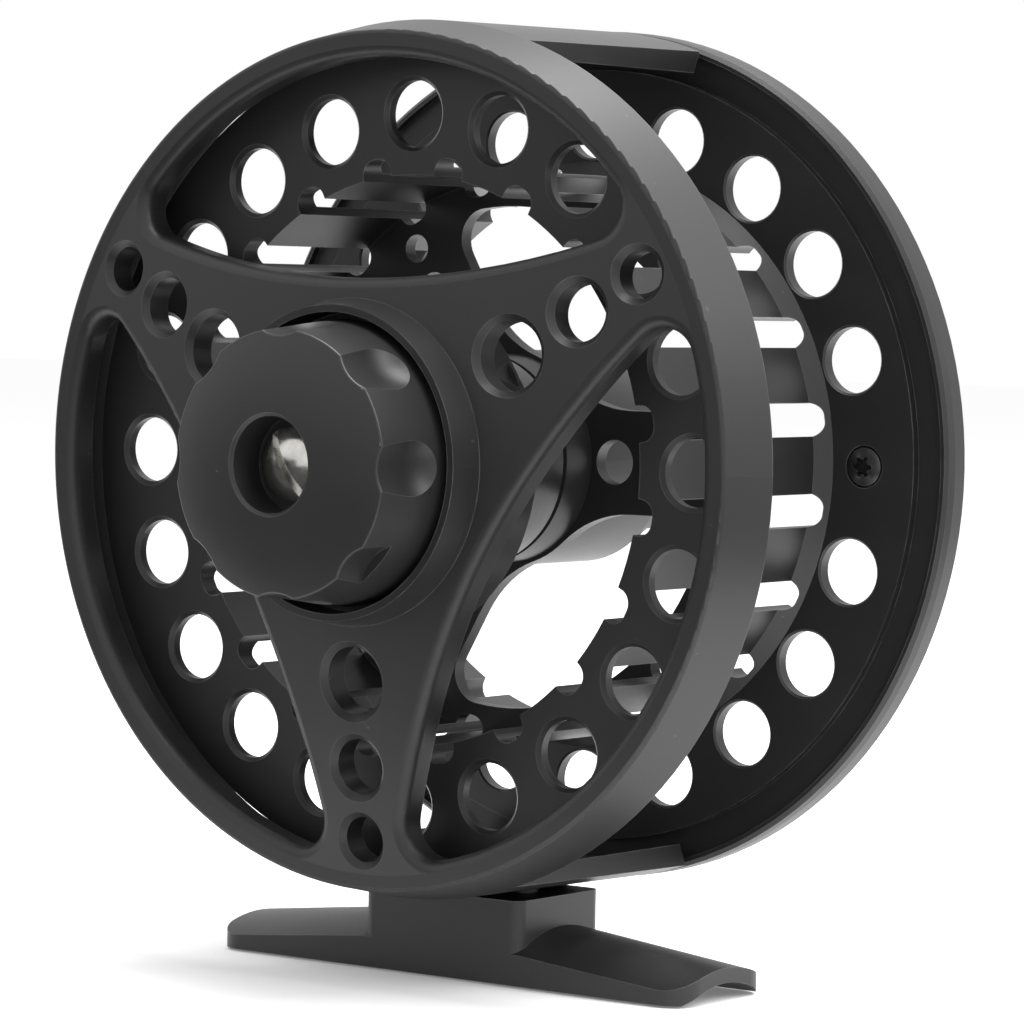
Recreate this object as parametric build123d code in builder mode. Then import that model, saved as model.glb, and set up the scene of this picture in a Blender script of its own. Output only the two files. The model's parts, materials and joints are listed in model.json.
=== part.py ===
"""Fly reel: fixed frame on a rod foot, free-turning spool, disc drag with a click pawl.

Millimetres. Z is up and Y runs along the spool's axis, from the drag knob towards the handle.
The origin is under the middle of the foot, on the plane where the foot sits on the rod.
"""

import os

from build123d import *

# ---------------------------------------------------------------- overall sizes
RIM_RADIUS = 42.5                     # largest radius of the reel, at the spool's palming rim
FOOT_DROP = 7.65                      # from the palming rim down to the rod
AXIS_HEIGHT = RIM_RADIUS + FOOT_DROP  # spool axis above the rod
RUNNING_FIT = 0.05                    # radial clearance of a shaft in its bearing
FREE_GAP = 0.6                        # radial gap between the spool's edge and the pillars

# frame
RING_FRONT_Y = -19.05
RING_REAR_Y = -13.1
RING_FRONT_RADIUS = RIM_RADIUS - 1.9
RING_REAR_RADIUS = RIM_RADIUS - 0.6
RING_LIP_RADIUS = RIM_RADIUS - 1.4    # a thin lip inside the ring shrouds the spool's front edge
RING_LIP_Y = -12.1
PLATE_THICKNESS = 3.0
WINDOW_RADIUS = RIM_RADIUS - 4.4
RING_FACE_RADIUS = WINDOW_RADIUS + 1.0      # the dished spider meets the flat ring here
WINDOW_BOW_RADIUS = 93.9
WINDOW_NEAREST = 17.3                 # closest a window comes to the axis
WINDOW_CORNER = 3.1
EDGE_ROUND = 1.1
BAND_EDGE_ROUND = 0.4
PILLAR_INNER_RADIUS = RIM_RADIUS - 2.3
PILLAR_OUTER_RADIUS = RIM_RADIUS - 0.1
PILLAR_END_Y = 14.4
PILLAR_HALF_ANGLE = 19.0
SPOKE_ANGLES = (30.0, 150.0, 270.0)
SPOKE_HOLES = ((20.7, 3.3), (28.9, 2.7), (35.9, 2.2))     # distance from the axis, hole radius
COUNTERSINK = 0.6
MOUTH_MARGIN = 0.33                   # how far the cone of a countersink starts above the face

# hub of the frame
HUB_FRONT_Y = -21.8
BOSS_BASE_RADIUS = 15.4
BOSS_TOP_RADIUS = 14.8
BOSS_TOP_Y = -25.0
RECESS_RADIUS = 14.1
RECESS_FLOOR_Y = -21.4
HUB_BACK_RADIUS = 17.1
HUB_BACK_Y = -15.5
POCKET_RADIUS = 9.0
POCKET_FLOOR_Y = -18.5

# drag knob and the parts it drives
KNOB_RIM_RADIUS = 12.5
KNOB_OUTLINE_ROUND = 0.25
KNOB_BASE_RADIUS = 13.45
KNOB_FACE_Y = -33.6
KNOB_RIM_Y = -32.3
KNOB_BASE_Y = -22.4
KNOB_BORE_RADIUS = 4.5
KNOB_SEAT_Y = -29.6
KNOB_CAVITY_RADIUS = 9.5
KNOB_CAVITY_Y = -28.0
FLUTE_COUNT = 8
FLUTE_RADIUS = 4.9
FLUTE_CENTRE = 16.8
FLUTE_END_Y = -28.7
DETENT_COUNT = 24
DETENT_CIRCLE = 11.5
DETENT_BALL_RADIUS = 1.15
DETENT_SPRING_RADIUS = 1.0
DETENT_SPRING_BORE = 0.65
DETENT_SPRING_LENGTH = 1.8
DETENT_SPRING_Y = -19.8
KNOB_SCREW_RADIUS = 1.25
KNOB_SCREW_HEAD = 3.45
KNOB_SCREW_SLOT = 0.8
POST_SHOULDER_RADIUS = 5.2
POST_SHOULDER = 0.9
POST_BACK_Y = -15.2
KNOB_SCREW_END_Y = -22.5
POST_NOSE_Y = -20.0                   # floor of the nose bearing in the post
JOURNAL_RADIUS = 3.0
THREAD_RADIUS = 5.0                   # thread between the knob's sleeve and the drag nut
NUT_RADIUS = 8.6
NUT_FRONT_Y = -25.4
NUT_THICKNESS = 2.0
THRUST_PIN_RADIUS = 1.0
THRUST_PIN_CIRCLE = 6.6
THRUST_PIN_COUNT = 3
PRESSURE_FRONT_Y = -17.0
PRESSURE_BACK_Y = -15.6
WASHER_BORE = 5.4
WASHER_RADIUS = 8.2
WASHER_LIFT = 0.4                     # rise of each conical washer from bore to rim

# drag stack
HOUSING_RADIUS = 10.25
HOUSING_BORE = 8.8
HOUSING_FLANGE_RADIUS = 16.0
HOUSING_FLANGE = 1.6
HOUSING_BACK_Y = -2.1
HOUSING_WALL = 1.7
HOUSING_SCREW_CIRCLE = 13.4
HOUSING_SCREW_RADIUS = 1.0
HOUSING_SCREW_HEAD = 1.9
HOUSING_SCREW_HEAD_HEIGHT = 1.2
SHAFT_RADIUS = 4.0
NOSE_RADIUS = 2.0
DISC_RADIUS = 8.3
DISC_THICKNESS = 0.9
DISC_GAP = 0.05
SHAFT_NOSE_Y = -19.6
SQUARE_START_Y = -14.9
SQUARE = 5.2                          # across flats of the square that carries the turning discs
STACK_FRONT_Y = -12.9

# spool
SPOOL_FRONT_Y = -13.1
FLANGE_THICKNESS = 1.5
SPOOL_FLANGE_RADIUS = PILLAR_INNER_RADIUS - FREE_GAP
BACK_FLANGE_Y = 15.7
BACK_FLANGE_THICKNESS = 1.8
RIM_BACK_Y = 19.1
GROOVE_INNER = RIM_RADIUS - 3.9
GROOVE_OUTER = RIM_RADIUS - 0.9
GROOVE_DEPTH = 0.9
DRUM_RADIUS = 28.1
DRUM_BORE = 27.2
DRUM_CHAMFER = 1.35
WEB_FRONT_Y = 2.5
WEB_THICKNESS = 1.5
WEB_WINDOW_RADIUS = 24.65
SPOOL_HUB_RADIUS = 10.6
SPOOL_HUB_BACK_Y = 14.5
SPOOL_BORE = 6.5
HOLE_COUNT = 20
HOLE_CIRCLE = 33.0
HOLE_RADIUS = 3.2
SLOT_WIDTH = 3.4
SLOT_INNER = 25.9
SLOT_OUTER = 29.0
SLOT_CORNER = 1.4
WEB_SPOKE_WIDTH = 10.0
WEB_SPOKE_HOLES = ((13.0, 2.15), (18.9, 1.75), (23.6, 1.4))
WEB_HUB_ROUND = 12.0
WEB_RIM_ROUND = 3.0
HOLE_BREAK = 0.4

# clutch, bearing and retainer inside the spool's hub
CLUTCH_START_Y = 4.0
CLUTCH_END_Y = 9.6
CLUTCH_TRACK = 5.5
ROLLER_RADIUS = 0.7
BEARING_END_Y = 13.0
BEARING_INNER = 3.0
BALL_RADIUS = 0.8
BALL_COUNT = 9
SHAFT_END_Y = 13.6
CAP_RADIUS = 9.0
CAP_BACK_Y = 20.5

# click
TOOTH_COUNT = 40
CLICK_OUTER = 10.25
CLICK_ROOT = 9.3
CLICK_TIP = 8.5
CLICK_FRONT_Y = -1.5
PAWL_PIVOT = 6.4                      # height of the pawl's pin above the spool axis
PAWL_PIN_RADIUS = 0.8
PAWL_FRONT_Y = -1.7
PAWL_BACK_Y = 0.6
PAWL_REACH = CLICK_TIP - PAWL_PIVOT - 0.06     # the tip just clears the teeth
PAWL_STUD_HEIGHT = 1.5                # stud on the pawl that its spring holds in the middle
PAWL_STUD_RADIUS = 0.3
PAWL_SPRING_WIRE = 0.35

# foot
FOOT_LENGTH = 57.6
FOOT_WIDTH = 14.4
FOOT_TIP_EDGE = 1.2
FOOT_TIP_CROWN = 3.05
FOOT_ROOT_EDGE = 3.0
FOOT_ROOT_CROWN = 5.2
FOOT_ARCH = 1.6
FOOT_CORNER = 3.0
FOOT_RAIL = 1.0                       # width of the flat rail along each long edge
PEDESTAL_LENGTH = 19.2
PEDESTAL_DEPTH = 13.4
PEDESTAL_TOP = AXIS_HEIGHT - RIM_RADIUS + 0.5
PEDESTAL_CORNER = 1.3
FOOT_SCREW_SPACING = 10.0
SCREW_RADIUS = 1.5

# handle
HANDLE_POST_RADIUS = 2.6
HANDLE_FRONT_Y = 18.3
HANDLE_LENGTH = 21.0
HANDLE_X = -HOLE_CIRCLE
COUNTERWEIGHT_X = HOLE_CIRCLE

SPIN_AXIS = Axis((0, 0, AXIS_HEIGHT), (0, 1, 0))
HALF_PLANE = Plane.XY.offset(AXIS_HEIGHT)
FROM_TOP = (Align.CENTER, Align.CENTER, Align.MAX)
FROM_BOTTOM = (Align.CENTER, Align.CENTER, Align.MIN)

os.makedirs("parts", exist_ok=True)


def across(y, x=0.0, z=AXIS_HEIGHT):
    """A plane square to the axis: drawn with X to the right and Z up, it faces the knob side."""
    return Plane(origin=(x, y, z), x_dir=(1, 0, 0), z_dir=(0, -1, 0))


def section(points):
    """A closed outline given as (radius, y) pairs in the half plane through the axis."""
    with BuildSketch(HALF_PLANE) as outline:
        with BuildLine():
            Polyline(*points, close=True)
        make_face()
    return outline.sketch


def tube(outer, inner, start, end):
    """The section of a plain ring between two y values."""
    return section([(inner, start), (outer, start), (outer, end), (inner, end)])


def discs(radius, circle, count, start_angle, y):
    """Equal circles spread round the axis on a plane square to it."""
    with BuildSketch(across(y)) as pattern:
        with PolarLocations(circle, count, start_angle=start_angle):
            Circle(radius)
    return pattern.sketch


def save(body, name):
    body.part.label = name
    export_step(body.part, f"parts/{name}.step")


# ---------------------------------------------------------------- frame
DISH = (RING_FRONT_Y - HUB_FRONT_Y) / (RING_FACE_RADIUS - BOSS_BASE_RADIUS)


def plate_front(radius):
    """Front of the dished spider at a distance from the axis."""
    return HUB_FRONT_Y + (radius - BOSS_BASE_RADIUS) * DISH


def on_window_front(edge):
    """True for the edges where a window meets the front of the spider."""
    middle = edge.position_at(0.5)
    distance = Vector(middle.X, 0, middle.Z - AXIS_HEIGHT).length
    near_front = abs(middle.Y - plate_front(distance)) < 0.1
    inside_ring = BOSS_BASE_RADIUS + 0.5 < distance < WINDOW_RADIUS + 0.1
    return near_front and inside_ring and edge.geom_type != GeomType.LINE


with BuildSketch(across(RING_FRONT_Y)) as window:
    Circle(WINDOW_RADIUS)
    with Locations((0, WINDOW_NEAREST + WINDOW_BOW_RADIUS)):
        Circle(WINDOW_BOW_RADIUS, mode=Mode.INTERSECT)
    fillet(window.vertices(), WINDOW_CORNER)


def beside_pillars(inner_radius, y):
    """The space outside a radius, on both sides between the two pillars."""
    reach = 2 * RIM_RADIUS
    side = Vector(0, reach).rotate(Axis.Z, PILLAR_HALF_ANGLE)
    with BuildSketch(across(y)) as space:
        Circle(RIM_RADIUS + 4)
        Circle(inner_radius, mode=Mode.SUBTRACT)
        for up in (1, -1):
            with BuildLine():
                Polyline((0, 0), (side.X, up * side.Y), (-side.X, up * side.Y), close=True)
            make_face(mode=Mode.SUBTRACT)
    return space.sketch


with BuildPart() as frame:
    revolve(section([
        (SHAFT_RADIUS, RECESS_FLOOR_Y),
        (RECESS_RADIUS, RECESS_FLOOR_Y),
        (RECESS_RADIUS, BOSS_TOP_Y),
        (BOSS_TOP_RADIUS, BOSS_TOP_Y),
        (BOSS_BASE_RADIUS, HUB_FRONT_Y),
        (RING_FACE_RADIUS, RING_FRONT_Y),
        (RING_FRONT_RADIUS, RING_FRONT_Y),
        (RING_REAR_RADIUS, RING_REAR_Y),
        (PILLAR_OUTER_RADIUS, PILLAR_END_Y),
        (PILLAR_INNER_RADIUS, PILLAR_END_Y),
        (PILLAR_INNER_RADIUS, plate_front(PILLAR_INNER_RADIUS) + PLATE_THICKNESS),
        (HUB_BACK_RADIUS, plate_front(HUB_BACK_RADIUS) + PLATE_THICKNESS),
        (HUB_BACK_RADIUS, HUB_BACK_Y),
        (POCKET_RADIUS, HUB_BACK_Y),
        (POCKET_RADIUS, POCKET_FLOOR_Y),
        (SHAFT_RADIUS, POCKET_FLOOR_Y),
    ]), axis=SPIN_AXIS)
    band_edges = [edge for edge in frame.edges().filter_by(GeomType.CIRCLE)
                  if abs(edge.radius - RING_FRONT_RADIUS) < 0.01]
    fillet(band_edges, BAND_EDGE_ROUND)
    # the two pillars stay and the rest of the sleeve goes, but for a lip behind the ring
    for inner_radius, start_y in ((PILLAR_INNER_RADIUS - 1, RING_LIP_Y), (RING_LIP_RADIUS, RING_REAR_Y)):
        extrude(beside_pillars(inner_radius, start_y), amount=-(PILLAR_END_Y - start_y + 1),
                mode=Mode.SUBTRACT)
    # three windows leave a spider with concave sides
    for turn in (0, 120, 240):
        panel = window.sketch.rotate(SPIN_AXIS, turn)
        extrude(panel, amount=8, both=True, mode=Mode.SUBTRACT)
    window_edges = frame.edges().filter_by(on_window_front)
    fillet(window_edges, EDGE_ROUND)
    # three countersunk holes down each leg, sunk square to the dished face
    for angle in SPOKE_ANGLES:
        for distance, radius in SPOKE_HOLES:
            outward = Vector(1, 0, 0).rotate(Axis.Y, -angle)
            seat = Plane(origin=Vector(0, plate_front(distance), AXIS_HEIGHT) + outward * distance,
                         z_dir=outward * DISH - Vector(0, 1, 0))
            with Locations(seat.offset(MOUTH_MARGIN)):
                Cylinder(radius, PLATE_THICKNESS + 3, align=FROM_TOP, mode=Mode.SUBTRACT)
                Cone(radius, radius + COUNTERSINK + MOUTH_MARGIN, COUNTERSINK + MOUTH_MARGIN,
                     align=FROM_TOP, mode=Mode.SUBTRACT)
    # holes for the foot screws, sunk from inside
    foot_screw_y = (PEDESTAL_DEPTH - FOOT_WIDTH) / 2
    with Locations(Plane.XY.offset(AXIS_HEIGHT - PILLAR_INNER_RADIUS)):
        with Locations((-FOOT_SCREW_SPACING / 2, foot_screw_y), (FOOT_SCREW_SPACING / 2, foot_screw_y)):
            CounterSinkHole(SCREW_RADIUS + 0.1, 2.9, depth=5)
            Cylinder(2.9, 1.0, align=FROM_BOTTOM, mode=Mode.SUBTRACT)
    # guide holes for the thrust pins, pocket for the detent ball, tapped holes for the housing
    extrude(discs(THRUST_PIN_RADIUS + RUNNING_FIT, THRUST_PIN_CIRCLE, THRUST_PIN_COUNT, 90,
                  RECESS_FLOOR_Y - 1), amount=-6, mode=Mode.SUBTRACT)
    extrude(discs(DETENT_BALL_RADIUS + 0.1, DETENT_CIRCLE, 1, 90, RECESS_FLOOR_Y), amount=-3.5,
            mode=Mode.SUBTRACT)
    extrude(discs(HOUSING_SCREW_RADIUS, HOUSING_SCREW_CIRCLE, 3, 30, HUB_BACK_Y), amount=4.0,
            mode=Mode.SUBTRACT)
save(frame, "frame")

# ---------------------------------------------------------------- foot and its screws
def foot_section(x, edge, crown):
    """Cross-section of the foot: two flat rails, an arched hollow between them, a crowned top."""
    half = FOOT_WIDTH / 2
    inner = half - FOOT_RAIL
    with BuildSketch(Plane(origin=(x, 0, 0), x_dir=(0, 1, 0), z_dir=(1, 0, 0))) as shape:
        with BuildLine():
            Line((-half, 0), (-inner, 0))
            ThreePointArc((-inner, 0), (0, FOOT_ARCH), (inner, 0))
            Line((inner, 0), (half, 0))
            Line((half, 0), (half, edge))
            ThreePointArc((half, edge), (0, crown), (-half, edge))
            Line((-half, edge), (-half, 0))
        make_face()
    return shape.sketch.face()


with BuildPart() as reel_foot:
    tip = FOOT_LENGTH / 2
    root = PEDESTAL_LENGTH / 2
    loft(sections=[foot_section(-tip, FOOT_TIP_EDGE, FOOT_TIP_CROWN),
                   foot_section(-root, FOOT_ROOT_EDGE, FOOT_ROOT_CROWN),
                   foot_section(root, FOOT_ROOT_EDGE, FOOT_ROOT_CROWN),
                   foot_section(tip, FOOT_TIP_EDGE, FOOT_TIP_CROWN)], ruled=True)
    with BuildSketch(Plane.XY.offset(-1)) as plan:
        RectangleRounded(FOOT_LENGTH, FOOT_WIDTH, FOOT_CORNER)
    extrude(amount=12, mode=Mode.INTERSECT)
    with BuildSketch(Plane.XY.offset(FOOT_ROOT_EDGE - 0.6)):
        with Locations((0, foot_screw_y)):
            RectangleRounded(PEDESTAL_LENGTH, PEDESTAL_DEPTH, PEDESTAL_CORNER)
    extrude(amount=PEDESTAL_TOP - FOOT_ROOT_EDGE + 0.6)
    # saddle that fits the outside of the lower pillar
    revolve(section([
        (0, RING_REAR_Y),
        (RING_REAR_RADIUS, RING_REAR_Y),
        (PILLAR_OUTER_RADIUS, PILLAR_END_Y),
        (0, PILLAR_END_Y),
    ]), axis=SPIN_AXIS, mode=Mode.SUBTRACT)
    with Locations(Plane.XY.offset(PEDESTAL_TOP)):
        with Locations((-FOOT_SCREW_SPACING / 2, foot_screw_y), (FOOT_SCREW_SPACING / 2, foot_screw_y)):
            Hole(SCREW_RADIUS, depth=PEDESTAL_TOP - 2.5)
save(reel_foot, "reel_foot")

with BuildPart() as foot_screws:
    head_z = AXIS_HEIGHT - PILLAR_INNER_RADIUS - 0.25
    with Locations((-FOOT_SCREW_SPACING / 2, foot_screw_y, head_z),
                   (FOOT_SCREW_SPACING / 2, foot_screw_y, head_z)):
        Cone(SCREW_RADIUS, 2.6, 1.1, align=FROM_TOP)
        Cylinder(SCREW_RADIUS, head_z - 2.9, align=FROM_TOP)
save(foot_screws, "foot_screws")

# ---------------------------------------------------------------- knob post, knob and drag nut
with BuildPart() as knob_post:
    nose_bore = NOSE_RADIUS + RUNNING_FIT
    revolve(section([
        (KNOB_SCREW_RADIUS, KNOB_SEAT_Y),
        (JOURNAL_RADIUS, KNOB_SEAT_Y),
        (JOURNAL_RADIUS, RECESS_FLOOR_Y),
        (SHAFT_RADIUS, RECESS_FLOOR_Y),
        (SHAFT_RADIUS, POCKET_FLOOR_Y),
        (POST_SHOULDER_RADIUS, POCKET_FLOOR_Y),
        (POST_SHOULDER_RADIUS, POCKET_FLOOR_Y + POST_SHOULDER),
        (SHAFT_RADIUS, POCKET_FLOOR_Y + POST_SHOULDER),
        (SHAFT_RADIUS, POST_BACK_Y),
        (nose_bore, POST_BACK_Y),
        (nose_bore, POST_NOSE_Y),
        (0.0, POST_NOSE_Y),
        (0.0, KNOB_SCREW_END_Y),
        (KNOB_SCREW_RADIUS, KNOB_SCREW_END_Y),
    ]), axis=SPIN_AXIS)
save(knob_post, "knob_post")

with BuildPart() as drag_knob:
    with BuildSketch(HALF_PLANE):
        with BuildLine():
            ThreePointArc((KNOB_BORE_RADIUS + 0.3, KNOB_FACE_Y), (8.6, KNOB_FACE_Y + 0.42),
                          (KNOB_RIM_RADIUS, KNOB_RIM_Y))
            Polyline((KNOB_RIM_RADIUS, KNOB_RIM_Y),
                     (KNOB_BASE_RADIUS, KNOB_BASE_Y - 0.5),
                     (KNOB_BASE_RADIUS - 0.4, KNOB_BASE_Y),
                     (KNOB_CAVITY_RADIUS, KNOB_BASE_Y),
                     (KNOB_CAVITY_RADIUS, KNOB_CAVITY_Y),
                     (THREAD_RADIUS, KNOB_CAVITY_Y),
                     (THREAD_RADIUS, KNOB_BASE_Y),
                     (JOURNAL_RADIUS + RUNNING_FIT, KNOB_BASE_Y),
                     (JOURNAL_RADIUS + RUNNING_FIT, KNOB_SEAT_Y),
                     (KNOB_BORE_RADIUS, KNOB_SEAT_Y),
                     (KNOB_BORE_RADIUS, KNOB_FACE_Y + 0.3),
                     (KNOB_BORE_RADIUS + 0.3, KNOB_FACE_Y))
        make_face()
    revolve(axis=SPIN_AXIS)
    flute_start = KNOB_FACE_Y - 2
    with Locations(across(FLUTE_END_Y)):
        with PolarLocations(FLUTE_CENTRE, FLUTE_COUNT):
            Sphere(FLUTE_RADIUS, mode=Mode.SUBTRACT)
            Cylinder(FLUTE_RADIUS, FLUTE_END_Y - flute_start,
                     align=FROM_BOTTOM, mode=Mode.SUBTRACT)
    flute_floor = FLUTE_CENTRE - FLUTE_RADIUS
    outline = [edge for edge in drag_knob.edges()
               if abs(edge.center().Y - KNOB_RIM_Y) < 0.3
               and Vector(edge.center().X, edge.center().Z - AXIS_HEIGHT).length > flute_floor - 1]
    fillet(outline, KNOB_OUTLINE_ROUND)
    # ring of dimples that the detent ball drops into
    with Locations(across(KNOB_BASE_Y + 0.65)):
        with PolarLocations(DETENT_CIRCLE, DETENT_COUNT, start_angle=90):
            Sphere(1.1, mode=Mode.SUBTRACT)
save(drag_knob, "drag_knob")

with BuildPart() as knob_screw:
    head_rim_y = KNOB_SEAT_Y - 0.9
    with BuildSketch(HALF_PLANE):
        with BuildLine():
            ThreePointArc((0, head_rim_y - 1.15), (1.95, head_rim_y - 0.85),
                          (KNOB_SCREW_HEAD, head_rim_y))
            Polyline((KNOB_SCREW_HEAD, head_rim_y),
                     (KNOB_SCREW_HEAD, KNOB_SEAT_Y - 0.05),
                     (KNOB_SCREW_RADIUS, KNOB_SEAT_Y - 0.05),
                     (KNOB_SCREW_RADIUS, KNOB_SCREW_END_Y - 0.2),
                     (0, KNOB_SCREW_END_Y - 0.2),
                     (0, head_rim_y - 1.15))
        make_face()
    revolve(axis=SPIN_AXIS)
    with BuildSketch(across(head_rim_y - 2)):
        Rectangle(KNOB_SCREW_SLOT, 3 * KNOB_SCREW_HEAD, rotation=31)
    extrude(amount=-2.0, mode=Mode.SUBTRACT)
save(knob_screw, "knob_screw")

with BuildPart() as detent_spring:
    with BuildSketch(across(DETENT_SPRING_Y, z=AXIS_HEIGHT + DETENT_CIRCLE)):
        Circle(DETENT_SPRING_RADIUS)
        Circle(DETENT_SPRING_BORE, mode=Mode.SUBTRACT)
    extrude(amount=-DETENT_SPRING_LENGTH)
save(detent_spring, "detent_spring")

with BuildPart() as detent_ball:
    with Locations((0, RECESS_FLOOR_Y + 0.55, AXIS_HEIGHT + DETENT_CIRCLE)):
        Sphere(DETENT_BALL_RADIUS)
save(detent_ball, "detent_ball")

with BuildPart() as drag_nut:
    nut_back = NUT_FRONT_Y + NUT_THICKNESS
    revolve(tube(NUT_RADIUS, THREAD_RADIUS + RUNNING_FIT, NUT_FRONT_Y, nut_back), axis=SPIN_AXIS)
    extrude(discs(THRUST_PIN_RADIUS, THRUST_PIN_CIRCLE, THRUST_PIN_COUNT, 90, NUT_FRONT_Y + 0.8),
            amount=-4, mode=Mode.SUBTRACT)
save(drag_nut, "drag_nut")

with BuildPart() as thrust_pins:
    extrude(discs(THRUST_PIN_RADIUS, THRUST_PIN_CIRCLE, THRUST_PIN_COUNT, 90, NUT_FRONT_Y + 0.8),
            amount=-(PRESSURE_FRONT_Y - NUT_FRONT_Y - 0.8))
save(thrust_pins, "thrust_pins")

with BuildPart() as pressure_plate:
    revolve(tube(POCKET_RADIUS - 0.4, WASHER_BORE, PRESSURE_FRONT_Y, PRESSURE_BACK_Y), axis=SPIN_AXIS)
save(pressure_plate, "pressure_plate")

# ---------------------------------------------------------------- drag housing and stack
with BuildPart() as drag_housing:
    bush_bore = SHAFT_RADIUS + 1.2
    revolve(section([
        (HOUSING_BORE, HUB_BACK_Y),
        (HOUSING_FLANGE_RADIUS, HUB_BACK_Y),
        (HOUSING_FLANGE_RADIUS, HUB_BACK_Y + HOUSING_FLANGE),
        (HOUSING_RADIUS, HUB_BACK_Y + HOUSING_FLANGE),
        (HOUSING_RADIUS, HOUSING_BACK_Y),
        (bush_bore, HOUSING_BACK_Y),
        (bush_bore, HOUSING_BACK_Y - HOUSING_WALL),
        (HOUSING_BORE, HOUSING_BACK_Y - HOUSING_WALL),
    ]), axis=SPIN_AXIS)
    extrude(discs(HOUSING_SCREW_RADIUS + 0.1, HOUSING_SCREW_CIRCLE, 3, 30, HUB_BACK_Y - 1), amount=-4,
            mode=Mode.SUBTRACT)
    extrude(discs(PAWL_PIN_RADIUS, PAWL_PIVOT, 1, 90, HOUSING_BACK_Y - 1.2), amount=-3,
            mode=Mode.SUBTRACT)
save(drag_housing, "drag_housing")

with BuildPart() as housing_screws:
    head_y = HUB_BACK_Y + HOUSING_FLANGE
    extrude(discs(HOUSING_SCREW_RADIUS, HOUSING_SCREW_CIRCLE, 3, 30, HUB_BACK_Y - 3.5),
            amount=-(head_y - HUB_BACK_Y + 3.5))
    extrude(discs(HOUSING_SCREW_HEAD, HOUSING_SCREW_CIRCLE, 3, 30, head_y), amount=-HOUSING_SCREW_HEAD_HEIGHT)
    with BuildSketch(across(head_y + HOUSING_SCREW_HEAD_HEIGHT)):
        with PolarLocations(HOUSING_SCREW_CIRCLE, 3, start_angle=30):
            RegularPolygon(0.8, 6)
    extrude(amount=0.8, mode=Mode.SUBTRACT)
save(housing_screws, "housing_screws")

with BuildPart() as shaft_bush:
    revolve(section([
        (SHAFT_RADIUS + RUNNING_FIT, HOUSING_BACK_Y - HOUSING_WALL - 0.5),
        (6.2, HOUSING_BACK_Y - HOUSING_WALL - 0.5),
        (6.2, HOUSING_BACK_Y - HOUSING_WALL),
        (SHAFT_RADIUS + 1.2, HOUSING_BACK_Y - HOUSING_WALL),
        (SHAFT_RADIUS + 1.2, HOUSING_BACK_Y),
        (SHAFT_RADIUS + RUNNING_FIT, HOUSING_BACK_Y),
    ]), axis=SPIN_AXIS)
save(shaft_bush, "shaft_bush")


def belleville(start, end, lift):
    """Section of a shallow conical spring washer that rises towards its rim by the lift."""
    return section([(WASHER_BORE, start), (WASHER_RADIUS, start + lift),
                    (WASHER_RADIUS, end), (WASHER_BORE, end - lift)])


with BuildPart() as spring_washers:
    revolve(belleville(-14.8, -13.9, WASHER_LIFT), axis=SPIN_AXIS)
    revolve(belleville(-13.4, -13.3, -WASHER_LIFT), axis=SPIN_AXIS)
save(spring_washers, "spring_washers")

# friction discs keyed to the housing alternate with steel discs carried by the shaft's square
friction_y = [STACK_FRONT_Y + 2 * i * (DISC_THICKNESS + DISC_GAP) for i in range(5)]
turning_y = [y + DISC_THICKNESS + DISC_GAP for y in friction_y[:-1]]

with BuildPart() as friction_discs:
    for y in friction_y:
        revolve(tube(HOUSING_BORE, 4.4, y, y + DISC_THICKNESS), axis=SPIN_AXIS)
save(friction_discs, "friction_discs")

with BuildPart() as drag_discs:
    for y in turning_y:
        with BuildSketch(across(y)):
            Circle(DISC_RADIUS)
            Rectangle(SQUARE, SQUARE, mode=Mode.SUBTRACT)
        extrude(amount=-DISC_THICKNESS)
save(drag_discs, "drag_discs")

# ---------------------------------------------------------------- main shaft
with BuildPart() as main_shaft:
    square_end = friction_y[-1] + DISC_THICKNESS
    revolve(section([
        (0, SHAFT_NOSE_Y),
        (NOSE_RADIUS, SHAFT_NOSE_Y),
        (NOSE_RADIUS, SQUARE_START_Y),
        (0, SQUARE_START_Y),
    ]), axis=SPIN_AXIS)
    with BuildSketch(across(SQUARE_START_Y)):
        Rectangle(SQUARE, SQUARE)
    extrude(amount=-(square_end - SQUARE_START_Y))
    revolve(section([
        (0, square_end),
        (SHAFT_RADIUS, square_end),
        (SHAFT_RADIUS, CLUTCH_END_Y),
        (BEARING_INNER, CLUTCH_END_Y),
        (BEARING_INNER, SHAFT_END_Y),
        (0, SHAFT_END_Y),
    ]), axis=SPIN_AXIS)
    with BuildSketch(across(SHAFT_END_Y)):
        Circle(1.25)
    extrude(amount=7, mode=Mode.SUBTRACT)
save(main_shaft, "main_shaft")

# ---------------------------------------------------------------- spool
with BuildSketch(across(WEB_FRONT_Y - 1)) as web_opening:
    Circle(WEB_WINDOW_RADIUS)
    Circle(SPOOL_HUB_RADIUS, mode=Mode.SUBTRACT)
    with PolarLocations(WEB_WINDOW_RADIUS / 2, 3):
        Rectangle(WEB_WINDOW_RADIUS + 4, WEB_SPOKE_WIDTH, mode=Mode.SUBTRACT)
    corners = web_opening.vertices()
    fillet([v for v in corners if Vector(v.X, v.Y).length < WEB_WINDOW_RADIUS / 2], WEB_HUB_ROUND)
    corners = web_opening.vertices()
    fillet([v for v in corners if Vector(v.X, v.Y).length > WEB_WINDOW_RADIUS - 0.1], WEB_RIM_ROUND)

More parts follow.
